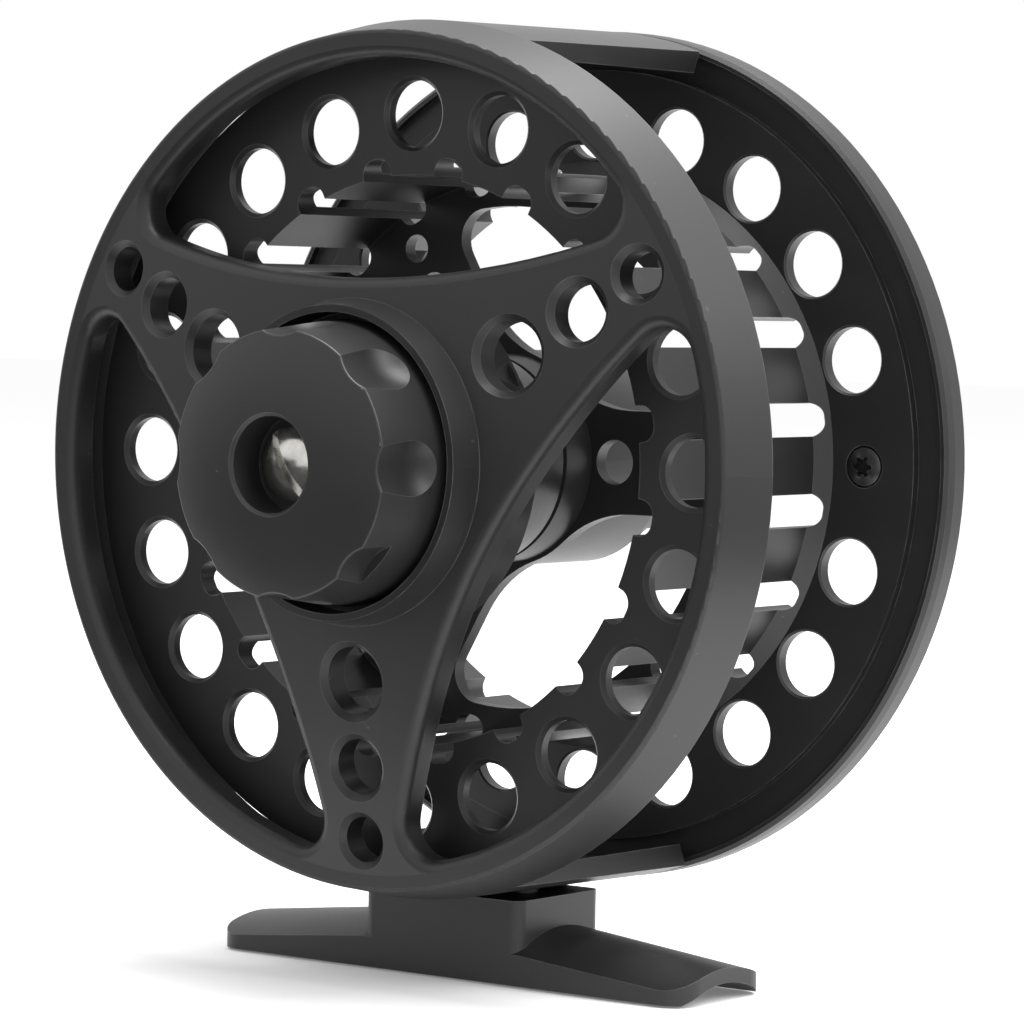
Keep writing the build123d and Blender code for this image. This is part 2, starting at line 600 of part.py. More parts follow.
with BuildPart() as spool:
    back_flange_back = BACK_FLANGE_Y + BACK_FLANGE_THICKNESS
    front_flange_back = SPOOL_FRONT_Y + FLANGE_THICKNESS
    revolve(section([
        (DRUM_BORE, SPOOL_FRONT_Y),
        (SPOOL_FLANGE_RADIUS, SPOOL_FRONT_Y),
        (SPOOL_FLANGE_RADIUS, front_flange_back),
        (DRUM_RADIUS + DRUM_CHAMFER, front_flange_back),
        (DRUM_RADIUS, front_flange_back + DRUM_CHAMFER),
        (DRUM_RADIUS, BACK_FLANGE_Y - DRUM_CHAMFER),
        (DRUM_RADIUS + DRUM_CHAMFER, BACK_FLANGE_Y),
        (GROOVE_INNER, BACK_FLANGE_Y),
        (GROOVE_INNER, BACK_FLANGE_Y + GROOVE_DEPTH),
        (GROOVE_OUTER, BACK_FLANGE_Y + GROOVE_DEPTH),
        (GROOVE_OUTER, BACK_FLANGE_Y),
        (RIM_RADIUS - 0.5, BACK_FLANGE_Y),
        (RIM_RADIUS - 0.12, BACK_FLANGE_Y + 0.35),
        (RIM_RADIUS, BACK_FLANGE_Y + 1.2),
        (RIM_RADIUS, RIM_BACK_Y - 0.5),
        (RIM_RADIUS - 0.5, RIM_BACK_Y),
        (GROOVE_INNER + 0.6, RIM_BACK_Y),
        (GROOVE_INNER - 0.4, back_flange_back),
        (DRUM_BORE, back_flange_back),
        (DRUM_BORE, WEB_FRONT_Y + WEB_THICKNESS),
        (SPOOL_HUB_RADIUS, WEB_FRONT_Y + WEB_THICKNESS),
        (SPOOL_HUB_RADIUS, SPOOL_HUB_BACK_Y),
        (SPOOL_BORE, SPOOL_HUB_BACK_Y),
        (SPOOL_BORE, CLUTCH_START_Y - 0.5),
        (SHAFT_RADIUS + 1.0, CLUTCH_START_Y - 0.5),
        (SHAFT_RADIUS + 1.0, WEB_FRONT_Y),
        (DRUM_BORE, WEB_FRONT_Y),
    ]), axis=SPIN_AXIS)
    # openings between the three legs of the web
    extrude(web_opening.sketch, amount=-(WEB_THICKNESS + 2), mode=Mode.SUBTRACT)
    for distance, radius in WEB_SPOKE_HOLES:
        extrude(discs(radius, distance, 3, 0, WEB_FRONT_Y - 1), amount=-(WEB_THICKNESS + 2),
                mode=Mode.SUBTRACT)
    # slots through the drum run out through both flanges
    with BuildSketch(across(SPOOL_FRONT_Y - 1)):
        with PolarLocations((SLOT_INNER + SLOT_OUTER) / 2, HOLE_COUNT, start_angle=180 / HOLE_COUNT):
            RectangleRounded(SLOT_OUTER - SLOT_INNER, SLOT_WIDTH, SLOT_CORNER)
    extrude(amount=-(back_flange_back - SPOOL_FRONT_Y + 2), mode=Mode.SUBTRACT)
    # lightening holes: a full ring at the front, two places at the back taken by screws
    extrude(discs(HOLE_RADIUS, HOLE_CIRCLE, HOLE_COUNT, 0, SPOOL_FRONT_Y - 1),
            amount=-(FLANGE_THICKNESS + 2), mode=Mode.SUBTRACT)
    with BuildSketch(across(BACK_FLANGE_Y - 1)):
        for index in range(HOLE_COUNT):
            taken = index % (HOLE_COUNT // 2) == 0
            with PolarLocations(HOLE_CIRCLE, 1, start_angle=index * 360 / HOLE_COUNT):
                Circle(SCREW_RADIUS + 0.1 if taken else HOLE_RADIUS)
    extrude(amount=-(BACK_FLANGE_THICKNESS + 2), mode=Mode.SUBTRACT)
    extrude(discs(2.05, HOLE_CIRCLE, 2, 0, BACK_FLANGE_Y - 0.1), amount=-0.9, mode=Mode.SUBTRACT)
    hole_edges = [e for e in spool.edges().filter_by(GeomType.CIRCLE)
                  if abs(e.radius - HOLE_RADIUS) < 0.01]
    outside = (SPOOL_FRONT_Y, back_flange_back)
    chamfer([e for e in hole_edges if min(abs(e.center().Y - y) for y in outside) < 0.01], HOLE_BREAK)
    hole_edges = [e for e in spool.edges().filter_by(GeomType.CIRCLE)
                  if abs(e.radius - HOLE_RADIUS) < 0.01]
    inside = (front_flange_back, BACK_FLANGE_Y)
    chamfer([e for e in hole_edges if min(abs(e.center().Y - y) for y in inside) < 0.01], HOLE_BREAK / 2)
save(spool, "spool")

# internal teeth on the spool's hub and the pawl that clicks over them
with BuildPart() as click_ring:
    with BuildSketch(across(CLICK_FRONT_Y)):
        Circle(CLICK_OUTER)
        Circle(CLICK_ROOT, mode=Mode.SUBTRACT)
        with PolarLocations((CLICK_ROOT + CLICK_TIP) / 2 + 0.1, TOOTH_COUNT,
                            start_angle=90 + 180 / TOOTH_COUNT):
            Trapezoid(0.8, CLICK_ROOT - CLICK_TIP + 0.2, 72, rotation=90)
    extrude(amount=-(WEB_FRONT_Y - CLICK_FRONT_Y))
save(click_ring, "click_ring")

spring_front_y = PAWL_BACK_Y + 0.15
spring_back_y = spring_front_y + PAWL_SPRING_WIRE
pivot_z = AXIS_HEIGHT + PAWL_PIVOT

with BuildPart() as pawl_pin:
    with BuildSketch(across(HOUSING_BACK_Y - 1.0, z=pivot_z)):
        Circle(PAWL_PIN_RADIUS)
    extrude(amount=-(spring_back_y + 0.2 - HOUSING_BACK_Y + 1.0))
save(pawl_pin, "pawl_pin")

with BuildPart() as click_pawl:
    with BuildSketch(across(PAWL_FRONT_Y, z=pivot_z)):
        Circle(1.5)
        with BuildLine():
            Polyline((-1.2, 0.8), (-0.22, PAWL_REACH), (0.22, PAWL_REACH), (1.2, 0.8), close=True)
        make_face()
        Circle(PAWL_PIN_RADIUS + RUNNING_FIT, mode=Mode.SUBTRACT)
    extrude(amount=-(PAWL_BACK_Y - PAWL_FRONT_Y))
    with BuildSketch(across(PAWL_BACK_Y - 0.2, z=pivot_z + PAWL_STUD_HEIGHT)):
        Circle(PAWL_STUD_RADIUS)
    extrude(amount=-(spring_back_y - PAWL_BACK_Y + 0.2))
save(click_pawl, "click_pawl")

# wire spring turned once round the pin, with a leg on each side of the pawl's stud
with BuildPart() as pawl_spring:
    with BuildSketch(across(spring_front_y, z=pivot_z)):
        Circle(PAWL_PIN_RADIUS + PAWL_SPRING_WIRE)
        leg_x = PAWL_STUD_RADIUS + 0.05 + PAWL_SPRING_WIRE / 2
        with Locations((-leg_x, 1.3), (leg_x, 1.3)):
            Rectangle(PAWL_SPRING_WIRE, 1.2)
        Circle(PAWL_PIN_RADIUS, mode=Mode.SUBTRACT)
    extrude(amount=-PAWL_SPRING_WIRE)
save(pawl_spring, "pawl_spring")

# ---------------------------------------------------------------- clutch and bearing in the spool
with BuildPart() as clutch_ring:
    revolve(tube(SPOOL_BORE, CLUTCH_TRACK, CLUTCH_START_Y - 0.5, CLUTCH_END_Y), axis=SPIN_AXIS)
save(clutch_ring, "clutch_ring")

with BuildPart() as clutch_rollers:
    extrude(discs(ROLLER_RADIUS, SHAFT_RADIUS + RUNNING_FIT + ROLLER_RADIUS, 8, 0, CLUTCH_START_Y),
            amount=-(CLUTCH_END_Y - CLUTCH_START_Y - 0.4))
save(clutch_rollers, "clutch_rollers")

race_y = (CLUTCH_END_Y + BEARING_END_Y) / 2
ball_circle = (BEARING_INNER + SPOOL_BORE) / 2

with BuildSketch(HALF_PLANE) as ball_track:
    with Locations((ball_circle, race_y)):
        Circle(BALL_RADIUS + RUNNING_FIT)

with BuildPart() as bearing_outer_ring:
    revolve(tube(SPOOL_BORE, SPOOL_BORE - 1.3, CLUTCH_END_Y + 0.1, BEARING_END_Y), axis=SPIN_AXIS)
    revolve(ball_track.sketch, axis=SPIN_AXIS, mode=Mode.SUBTRACT)
save(bearing_outer_ring, "bearing_outer_ring")

with BuildPart() as bearing_inner_ring:
    revolve(tube(BEARING_INNER + 1.3, BEARING_INNER, CLUTCH_END_Y + 0.1, BEARING_END_Y), axis=SPIN_AXIS)
    revolve(ball_track.sketch, axis=SPIN_AXIS, mode=Mode.SUBTRACT)
save(bearing_inner_ring, "bearing_inner_ring")

with BuildPart() as bearing_balls:
    with Locations(across(race_y)):
        with PolarLocations(ball_circle, BALL_COUNT):
            Sphere(BALL_RADIUS)
save(bearing_balls, "bearing_balls")

with BuildPart() as shaft_screw:
    revolve(section([
        (0, SHAFT_END_Y - 5),
        (1.25, SHAFT_END_Y - 5),
        (1.25, SHAFT_END_Y),
        (3.7, SHAFT_END_Y),
        (3.7, SHAFT_END_Y + 0.6),
        (2.6, SHAFT_END_Y + 1.4),
        (0, SHAFT_END_Y + 1.4),
    ]), axis=SPIN_AXIS)
    with BuildSketch(across(SHAFT_END_Y + 1.4)):
        Rectangle(0.7, 8)
    extrude(amount=0.7, mode=Mode.SUBTRACT)
save(shaft_screw, "shaft_screw")

with BuildPart() as hub_cap:
    revolve(section([
        (0, CAP_BACK_Y),
        (CAP_RADIUS - 0.8, CAP_BACK_Y),
        (CAP_RADIUS, CAP_BACK_Y - 0.8),
        (CAP_RADIUS, SPOOL_HUB_BACK_Y),
        (SPOOL_BORE - 0.02, SPOOL_HUB_BACK_Y),
        (SPOOL_BORE - 0.02, BEARING_END_Y),
        (SPOOL_BORE - 1.0, BEARING_END_Y),
        (SPOOL_BORE - 1.0, CAP_BACK_Y - 1.6),
        (0, CAP_BACK_Y - 1.6),
    ]), axis=SPIN_AXIS)
    # finger grips round the cap
    with Locations(across(CAP_BACK_Y - 2)):
        with PolarLocations(CAP_RADIUS + 1.0, 12):
            Cylinder(1.5, 4.4, mode=Mode.SUBTRACT)
save(hub_cap, "hub_cap")

# ---------------------------------------------------------------- handle and counterweight
def flange_screw(x):
    """Button-headed screw with a six-lobed socket, let into the inner face of the back flange."""
    with BuildPart() as screw:
        with BuildSketch(HALF_PLANE):
            with BuildLine():
                ThreePointArc((0, BACK_FLANGE_Y - 0.45), (1.0, BACK_FLANGE_Y - 0.34),
                              (1.85, BACK_FLANGE_Y))
                Polyline((1.85, BACK_FLANGE_Y), (1.85, BACK_FLANGE_Y + 0.8),
                         (SCREW_RADIUS, BACK_FLANGE_Y + 0.8), (SCREW_RADIUS, BACK_FLANGE_Y + 8.5),
                         (0, BACK_FLANGE_Y + 8.5), (0, BACK_FLANGE_Y - 0.45))
            make_face()
        revolve(axis=SPIN_AXIS)
        with BuildSketch(across(BACK_FLANGE_Y - 1)):
            Circle(0.75)
            with PolarLocations(0.82, 6):
                Circle(0.26)
        extrude(amount=-1.7, mode=Mode.SUBTRACT)
    return Pos(x, 0, 0) * screw.part


with BuildPart() as handle_screw:
    add(flange_screw(HANDLE_X))
save(handle_screw, "handle_screw")

with BuildPart() as counterweight_screw:
    add(flange_screw(COUNTERWEIGHT_X))
save(counterweight_screw, "counterweight_screw")

with BuildPart() as counterweight:
    revolve(section([
        (SCREW_RADIUS, back_flange_back),
        (4.8, back_flange_back),
        (4.8, back_flange_back + 6.0),
        (3.8, back_flange_back + 7.6),
        (0, back_flange_back + 7.6),
        (0, BACK_FLANGE_Y + 8.6),
        (SCREW_RADIUS, BACK_FLANGE_Y + 8.6),
    ]), axis=SPIN_AXIS)
counterweight.part = Pos(COUNTERWEIGHT_X, 0, 0) * counterweight.part
save(counterweight, "counterweight")

post_end = HANDLE_FRONT_Y + HANDLE_LENGTH - 2.0
with BuildPart() as handle_post:
    revolve(section([
        (SCREW_RADIUS, back_flange_back),
        (4.2, back_flange_back),
        (4.2, HANDLE_FRONT_Y - 0.2),
        (HANDLE_POST_RADIUS, HANDLE_FRONT_Y - 0.2),
        (HANDLE_POST_RADIUS, post_end),
        (1.25, post_end),
        (1.25, post_end - 7),
        (0, post_end - 7),
        (0, BACK_FLANGE_Y + 8.6),
        (SCREW_RADIUS, BACK_FLANGE_Y + 8.6),
    ]), axis=SPIN_AXIS)
handle_post.part = Pos(HANDLE_X, 0, 0) * handle_post.part
save(handle_post, "handle_post")

with BuildPart() as handle_knob:
    knob_end = HANDLE_FRONT_Y + HANDLE_LENGTH
    bore = HANDLE_POST_RADIUS + RUNNING_FIT
    with BuildSketch(HALF_PLANE):
        with BuildLine():
            Polyline((bore, HANDLE_FRONT_Y), (4.6, HANDLE_FRONT_Y), (5.0, HANDLE_FRONT_Y + 0.5))
            Spline((5.0, HANDLE_FRONT_Y + 0.5), (4.5, HANDLE_FRONT_Y + 6), (5.6, knob_end - 4),
                   (5.4, knob_end - 0.8))
            Polyline((5.4, knob_end - 0.8), (4.6, knob_end), (4.1, knob_end), (4.1, post_end + 0.05),
                     (bore, post_end + 0.05), (bore, HANDLE_FRONT_Y))
        make_face()
    revolve(axis=SPIN_AXIS)
handle_knob.part = Pos(HANDLE_X, 0, 0) * handle_knob.part
save(handle_knob, "handle_knob")

with BuildPart() as handle_end_screw:
    revolve(section([
        (0, post_end - 6.5),
        (1.25, post_end - 6.5),
        (1.25, post_end),
        (HANDLE_POST_RADIUS, post_end),
        (HANDLE_POST_RADIUS, post_end + 0.1),
        (3.7, post_end + 0.1),
        (3.7, post_end + 0.9),
        (2.8, post_end + 1.6),
        (0, post_end + 1.6),
    ]), axis=SPIN_AXIS)
    with BuildSketch(across(post_end + 1.6)):
        Rectangle(0.8, 8)
    extrude(amount=0.8, mode=Mode.SUBTRACT)
handle_end_screw.part = Pos(HANDLE_X, 0, 0) * handle_end_screw.part
save(handle_end_screw, "handle_end_screw")
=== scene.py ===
"""Looks of the fly reel: finishes for every piece, wound springs, a studio and the camera."""

import json
import math

import bmesh
import bpy
from mathutils import Matrix, Vector


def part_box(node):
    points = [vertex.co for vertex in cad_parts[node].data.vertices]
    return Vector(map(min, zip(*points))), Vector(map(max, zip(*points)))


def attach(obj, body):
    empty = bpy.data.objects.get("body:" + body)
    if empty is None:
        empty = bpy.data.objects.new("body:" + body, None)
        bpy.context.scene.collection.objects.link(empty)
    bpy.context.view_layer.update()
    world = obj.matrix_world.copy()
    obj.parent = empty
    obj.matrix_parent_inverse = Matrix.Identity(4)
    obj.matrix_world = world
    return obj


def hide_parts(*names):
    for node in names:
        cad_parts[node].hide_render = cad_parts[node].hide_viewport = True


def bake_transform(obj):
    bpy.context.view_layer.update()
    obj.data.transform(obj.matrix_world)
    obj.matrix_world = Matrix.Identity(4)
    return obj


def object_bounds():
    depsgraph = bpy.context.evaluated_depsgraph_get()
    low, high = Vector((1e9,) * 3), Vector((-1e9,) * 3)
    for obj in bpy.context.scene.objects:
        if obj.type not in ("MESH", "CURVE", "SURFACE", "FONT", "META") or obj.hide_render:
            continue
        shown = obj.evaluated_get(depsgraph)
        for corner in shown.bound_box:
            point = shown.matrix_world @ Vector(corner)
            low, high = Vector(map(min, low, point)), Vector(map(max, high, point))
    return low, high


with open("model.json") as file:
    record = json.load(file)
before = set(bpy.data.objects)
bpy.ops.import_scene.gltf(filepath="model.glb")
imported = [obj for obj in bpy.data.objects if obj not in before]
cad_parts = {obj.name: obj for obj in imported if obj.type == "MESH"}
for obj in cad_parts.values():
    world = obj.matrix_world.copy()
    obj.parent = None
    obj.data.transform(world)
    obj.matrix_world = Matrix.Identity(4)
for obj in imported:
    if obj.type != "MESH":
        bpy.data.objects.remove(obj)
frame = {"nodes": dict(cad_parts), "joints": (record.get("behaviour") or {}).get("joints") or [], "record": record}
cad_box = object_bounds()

MM = 0.001
places = {joint["name"]: joint.get("pos_m") for joint in frame["joints"]}
REEL_CENTRE = Vector(places["spool_spin"])

# wound springs
WIRE_SIDES = 10
STEPS_PER_TURN = 32
DETENT_WIRE = 0.3 * MM
DETENT_TURNS = 4.5
PAWL_LEG = 0.525 * MM                 # from the pin's middle plane to each leg of the pawl's spring

# studio
FLOOR_HALF_SIZE = 3.0
FLOOR_GAP = 0.2 * MM                  # below the foot, so that the two don't share a plane


# ---------------------------------------------------------------- writing materials as expressions
class Wire:
    """One output socket. Arithmetic on it adds the Math nodes it needs."""

    def __init__(self, finish, socket):
        self.finish = finish
        self.socket = socket

    def _math(self, operation, first, second):
        return self.finish.node("ShaderNodeMath", {"operation": operation}, {0: first, 1: second})

    def __add__(self, other):
        return self._math("ADD", self, other)

    def __radd__(self, other):
        return self._math("ADD", other, self)

    def __sub__(self, other):
        return self._math("SUBTRACT", self, other)

    def __rsub__(self, other):
        return self._math("SUBTRACT", other, self)

    def __mul__(self, other):
        return self._math("MULTIPLY", self, other)

    def __rmul__(self, other):
        return self._math("MULTIPLY", other, self)

    def __truediv__(self, other):
        return self._math("DIVIDE", self, other)

    def __rtruediv__(self, other):
        return self._math("DIVIDE", other, self)

    def __pow__(self, other):
        return self._math("POWER", self, other)

    def __rpow__(self, other):
        return self._math("POWER", other, self)

    def clip(self, low, high):
        """0 below low, 1 above high and a smooth step between."""
        inputs = {"Value": self, "From Min": low, "From Max": high}
        settings = {"interpolation_type": "SMOOTHSTEP"}
        return self.finish.node("ShaderNodeMapRange", settings, inputs)


class Finish:
    """A material under construction: node() adds any node, surface() sets the shader."""

    def __init__(self, name):
        self.material = bpy.data.materials.new(name)
        self.material.use_nodes = True
        self.tree = self.material.node_tree
        self.tree.nodes.clear()

    def node(self, kind, settings=None, inputs=None, output=0):
        made = self.tree.nodes.new(kind)
        for key, value in (settings or {}).items():
            setattr(made, key, value)
        for key, value in (inputs or {}).items():
            self._feed(made.inputs[key], value)
        return Wire(self, made.outputs[output])

    def _feed(self, socket, value):
        if isinstance(value, Wire):
            self.tree.links.new(value.socket, socket)
        else:
            socket.default_value = value

    def place(self):
        """Coordinates that stay with the piece as it moves."""
        return self.node("ShaderNodeTexCoord", output="Object")

    def stretched(self, vector, scale):
        return self.node("ShaderNodeMapping", {"vector_type": "POINT"},
                         {"Vector": vector, "Scale": scale})

    def about_axis(self):
        """Coordinates measured from the reel's spin axis."""
        return self.node("ShaderNodeMapping", {"vector_type": "POINT"},
                         {"Vector": self.place(), "Location": -REEL_CENTRE})

    def noise(self, vector, scale, detail, roughness):
        return self.node("ShaderNodeTexNoise", {"noise_dimensions": "3D"},
                         {"Vector": vector, "Scale": scale, "Detail": detail, "Roughness": roughness})

    def mix(self, factor, first, second):
        inputs = {"Factor": factor, "A": first, "B": second}
        return self.node("ShaderNodeMix", {"data_type": "RGBA"}, inputs, output="Result")

    def edges(self, radius):
        """Rises towards 1 along sharp edges; the finishes use it for edge wear and for a painted highlight along
        the edges.
        """
        rounded = self.node("ShaderNodeBevel", {"samples": 6}, {"Radius": radius})
        geometry = self.node("ShaderNodeNewGeometry", output="Normal")
        dot = self.node("ShaderNodeVectorMath", {"operation": "DOT_PRODUCT"},
                        {0: rounded, 1: geometry}, output="Value")
        return 1.0 - dot

    def bump(self, height, depth, strength):
        return self.node("ShaderNodeBump", None,
                         {"Height": height, "Distance": depth, "Strength": strength})

    def surface(self, inputs):
        shader = self.node("ShaderNodeBsdfPrincipled", None, inputs)
        out = self.tree.nodes.new("ShaderNodeOutputMaterial")
        self.tree.links.new(shader.socket, out.inputs["Surface"])
        return self.material


def grey(value):
    return (value, value, value, 1.0)


# ---------------------------------------------------------------- finishes
def blasted_anodising(name, dark, light, rough):
    """Fine bead-blasted black anodising with faint clouding, and edges painted lighter: partly wear, partly a
    painted highlight.
    """
    finish = Finish(name)
    place = finish.place()
    cloud = finish.noise(place, scale=60.0, detail=3.0, roughness=0.6)
    grain = finish.noise(place, scale=5200.0, detail=1.0, roughness=0.5)
    speck = finish.noise(place, scale=900.0, detail=2.0, roughness=0.6)
    edge_patches = finish.noise(place, scale=240.0, detail=3.0, roughness=0.65)
    edge = finish.edges(0.16 * MM).clip(low=0.01, high=0.16)
    wear_and_highlight = edge * (0.35 + 0.65 * edge_patches.clip(low=0.40, high=0.62))
    base = finish.mix(cloud, grey(dark), grey(light))
    dust = speck.clip(low=0.74, high=0.80) * 0.35
    base = finish.mix(dust, base, grey(0.11))
    # edges painted lighter grey: partly rubbed wear, partly a painted highlight along the edges
    base = finish.mix(wear_and_highlight * 0.75, base, grey(0.14))
    roughness = rough + (cloud - 0.5) * 0.10 + (grain - 0.5) * 0.08 - wear_and_highlight * 0.12
    height = grain * 0.7 + speck * 0.3
    return finish.surface({"Base Color": base, "Roughness": roughness, "Metallic": 0.0,
                           "IOR": 1.5, "Normal": finish.bump(height, depth=0.014 * MM, strength=0.55)})


def turned_metal(name, colour, rough, groove, metallic):
    """Metal cut on a lathe: fine rings about the spin axis and a slight haze."""
    finish = Finish(name)
    place = finish.about_axis()
    across_x, along, up = (finish.node("ShaderNodeSeparateXYZ", None, {"Vector": place}, axis)
                           for axis in "XYZ")
    radius = (across_x * across_x + up * up) ** 0.5
    rings = finish.node("ShaderNodeCombineXYZ", None, {"X": radius, "Y": along, "Z": 0.0})
    lines = finish.noise(rings, scale=groove, detail=3.0, roughness=0.7)
    haze = finish.noise(finish.place(), scale=180.0, detail=3.0, roughness=0.6)
    base = finish.mix(haze.clip(low=0.3, high=0.75), grey(0.75), grey(1.0))
    tinted = finish.node("ShaderNodeMix", {"data_type": "RGBA", "blend_type": "MULTIPLY"},
                         {"Factor": 1.0, "A": base, "B": colour}, output="Result")
    roughness = rough + (lines - 0.5) * 0.14 + (haze - 0.5) * 0.10
    return finish.surface({"Base Color": tinted, "Roughness": roughness, "Metallic": metallic,
                           "Normal": finish.bump(lines, depth=0.006 * MM, strength=0.5)})


def polished_steel(name):
    """Domed screw head: bright, with hairline scratches and a little dullness."""
    finish = Finish(name)
    place = finish.place()
    scratch = finish.noise(finish.stretched(place, (1.0, 1.0, 14.0)), scale=900.0, detail=4.0, roughness=0.7)
    haze = finish.noise(place, scale=420.0, detail=3.0, roughness=0.6)
    base = finish.mix(haze.clip(low=0.35, high=0.7), (0.56, 0.55, 0.52, 1), (0.74, 0.73, 0.70, 1))
    roughness = 0.16 + haze.clip(low=0.35, high=0.75) * 0.16 + (scratch - 0.5) * 0.10
    return finish.surface({"Base Color": base, "Roughness": roughness, "Metallic": 1.0,
                           "Normal": finish.bump(scratch, depth=0.004 * MM, strength=0.5)})


def blackened_steel(name):
    """Oil-blacked screws: dark and glossy, with edges painted bright: partly key wear, partly a painted highlight.
    """
    finish = Finish(name)
    place = finish.place()
    haze = finish.noise(place, scale=700.0, detail=3.0, roughness=0.6)
    edge = finish.edges(0.10 * MM).clip(low=0.02, high=0.25)
    base = finish.mix(haze, grey(0.045), grey(0.085))
    # edges painted light grey: partly key wear, partly a painted highlight along the edges
    base = finish.mix(edge * 0.7, base, grey(0.38))
    roughness = 0.30 + (haze - 0.5) * 0.20 - edge * 0.08
    return finish.surface({"Base Color": base, "Roughness": roughness, "Metallic": 0.85,
                           "Normal": finish.bump(haze, depth=0.006 * MM, strength=0.4)})


def sintered_bronze(name):
    """Porous bronze that holds oil."""
    finish = Finish(name)
    place = finish.place()
    pores = finish.noise(place, scale=3200.0, detail=3.0, roughness=0.7)
    base = finish.mix(pores.clip(low=0.3, high=0.6), (0.16, 0.09, 0.04, 1), (0.42, 0.26, 0.12, 1))
    return finish.surface({"Base Color": base, "Roughness": 0.42 + (pores - 0.5) * 0.2, "Metallic": 1.0,
                           "Normal": finish.bump(pores, depth=0.02 * MM, strength=0.6)})


def carbon_weave(name):
    """Friction discs of woven carbon: dark and lighter tows that cross."""
    finish = Finish(name)
    place = finish.place()
    turned = finish.node("ShaderNodeMapping", {"vector_type": "POINT"},
                         {"Vector": place, "Rotation": (0, math.radians(45), 0)})
    weave = finish.node("ShaderNodeTexChecker", None, {"Vector": turned, "Scale": 900.0}, output="Fac")
    fibre = finish.noise(finish.stretched(turned, (1.0, 1.0, 12.0)), scale=2500.0, detail=2.0, roughness=0.6)
    base = finish.mix(weave, grey(0.025), grey(0.055))
    return finish.surface({"Base Color": base, "Roughness": 0.5 + (fibre - 0.5) * 0.2, "Metallic": 0.0,
                           "Normal": finish.bump(weave * 0.6 + fibre * 0.4, depth=0.03 * MM, strength=0.5)})


def moulded_plastic(name, colour, rough, texture):
    """Injection-moulded plastic with a fine spark-eroded texture."""
    finish = Finish(name)
    place = finish.place()
    sparks = finish.noise(place, scale=texture, detail=2.0, roughness=0.55)
    patch = finish.noise(place, scale=130.0, detail=3.0, roughness=0.6)
    base = finish.mix(patch, grey(colour), grey(colour * 1.5))
    roughness = rough + (patch - 0.5) * 0.12 + (sparks - 0.5) * 0.08
    return finish.surface({"Base Color": base, "Roughness": roughness, "Metallic": 0.0, "IOR": 1.48,
                           "Normal": finish.bump(sparks, depth=0.02 * MM, strength=0.6)})


finishes = {
    "black_anodised": blasted_anodising("black_anodising", dark=0.010, light=0.0145, rough=0.42),
    "grey_anodised": turned_metal("turned_grey_anodising", colour=grey(0.11), rough=0.36,
                                  groove=2600.0, metallic=0.75),
    "bright_steel": polished_steel("polished_steel"),
    "blackened_steel": blackened_steel("blackened_steel"),
    "stainless_steel": turned_metal("turned_stainless", colour=(0.56, 0.55, 0.53, 1), rough=0.24,
                                    groove=4200.0, metallic=1.0),
    "bronze": sintered_bronze("sintered_bronze"),
    "friction_composite": carbon_weave("carbon_weave"),
    "black_nylon": moulded_plastic("black_nylon", colour=0.022, rough=0.45, texture=2600.0),
    "handle_grip": moulded_plastic("grip_plastic", colour=0.018, rough=0.50, texture=3000.0),
}

for part in frame["record"]["subparts"]:
    piece = frame["nodes"][part["node"]]
    piece.data.materials.clear()
    piece.data.materials.append(finishes[part["material_slot"]])


# ---------------------------------------------------------------- wound springs
def wire_end(mesh, centre, radius, angle, wire):
    """A round section of wire on a circle about a line along Y, square to its path."""
    ring = bmesh.ops.create_circle(mesh, segments=WIRE_SIDES, radius=wire / 2, cap_ends=False)["verts"]
    outward = Vector((math.cos(angle), 0, math.sin(angle)))
    for vert in ring:
        vert.co = centre + outward * (radius + vert.co.x) + Vector((0, vert.co.y, 0))
    return ring


def spring_piece(mesh, node):
    """Closes the wire's ends and puts the spring in place of its CAD node."""
    bmesh.ops.holes_fill(mesh, edges=mesh.edges, sides=0)
    bmesh.ops.recalc_face_normals(mesh, faces=mesh.faces)
    data = bpy.data.meshes.new(node + "_wire")
    mesh.to_mesh(data)
    mesh.free()
    data.shade_smooth()
    data.materials.append(finishes["stainless_steel"])
    piece = bpy.data.objects.new(node + "_wire", data)
    bpy.context.scene.collection.objects.link(piece)
    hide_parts(node)
    return piece


def detent_coil():
    """Compression spring behind the detent ball."""
    low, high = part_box("detent_spring")
    steps = int(DETENT_TURNS * STEPS_PER_TURN)
    rise = (high.y - low.y - DETENT_WIRE) / steps
    start = Vector(((low.x + high.x) / 2, low.y + DETENT_WIRE / 2, (low.z + high.z) / 2))
    mesh = bmesh.new()
    ring = wire_end(mesh, start, radius=(high.x - low.x - DETENT_WIRE) / 2, angle=0.0, wire=DETENT_WIRE)
    bmesh.ops.spin(mesh, geom=ring + list(mesh.edges), cent=start, axis=(0, 1, 0), dvec=(0, rise, 0),
                   angle=math.tau * DETENT_TURNS, steps=steps)
    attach(spring_piece(mesh, "detent_spring"), "frame_body")


def pawl_wire():
    """Torsion spring round the pawl's pin, with a leg on each side of the pawl's stud."""
    low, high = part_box("pawl_spring")
    wire = high.y - low.y
    radius = (high.x - low.x - wire) / 2
    pin = Vector(((low.x + high.x) / 2, (low.y + high.y) / 2, low.z + (high.x - low.x) / 2))
    start = math.acos(PAWL_LEG / radius)
    mesh = bmesh.new()
    first = wire_end(mesh, pin, radius, start, wire)
    spun = bmesh.ops.spin(mesh, geom=first + list(mesh.edges), cent=pin, axis=(0, 1, 0),
                          angle=math.pi + 2 * start, steps=STEPS_PER_TURN)
    last = [item for item in spun["geom_last"] if isinstance(item, bmesh.types.BMVert)]
    for ring in (first, last):
        chosen = set(ring)
        edges = [edge for edge in mesh.edges if set(edge.verts) <= chosen]
        drawn = bmesh.ops.extrude_edge_only(mesh, edges=edges)["geom"]
        for item in drawn:
            if isinstance(item, bmesh.types.BMVert):
                item.co.z = high.z
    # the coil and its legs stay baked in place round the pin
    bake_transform(spring_piece(mesh, "pawl_spring"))


detent_coil()
pawl_wire()


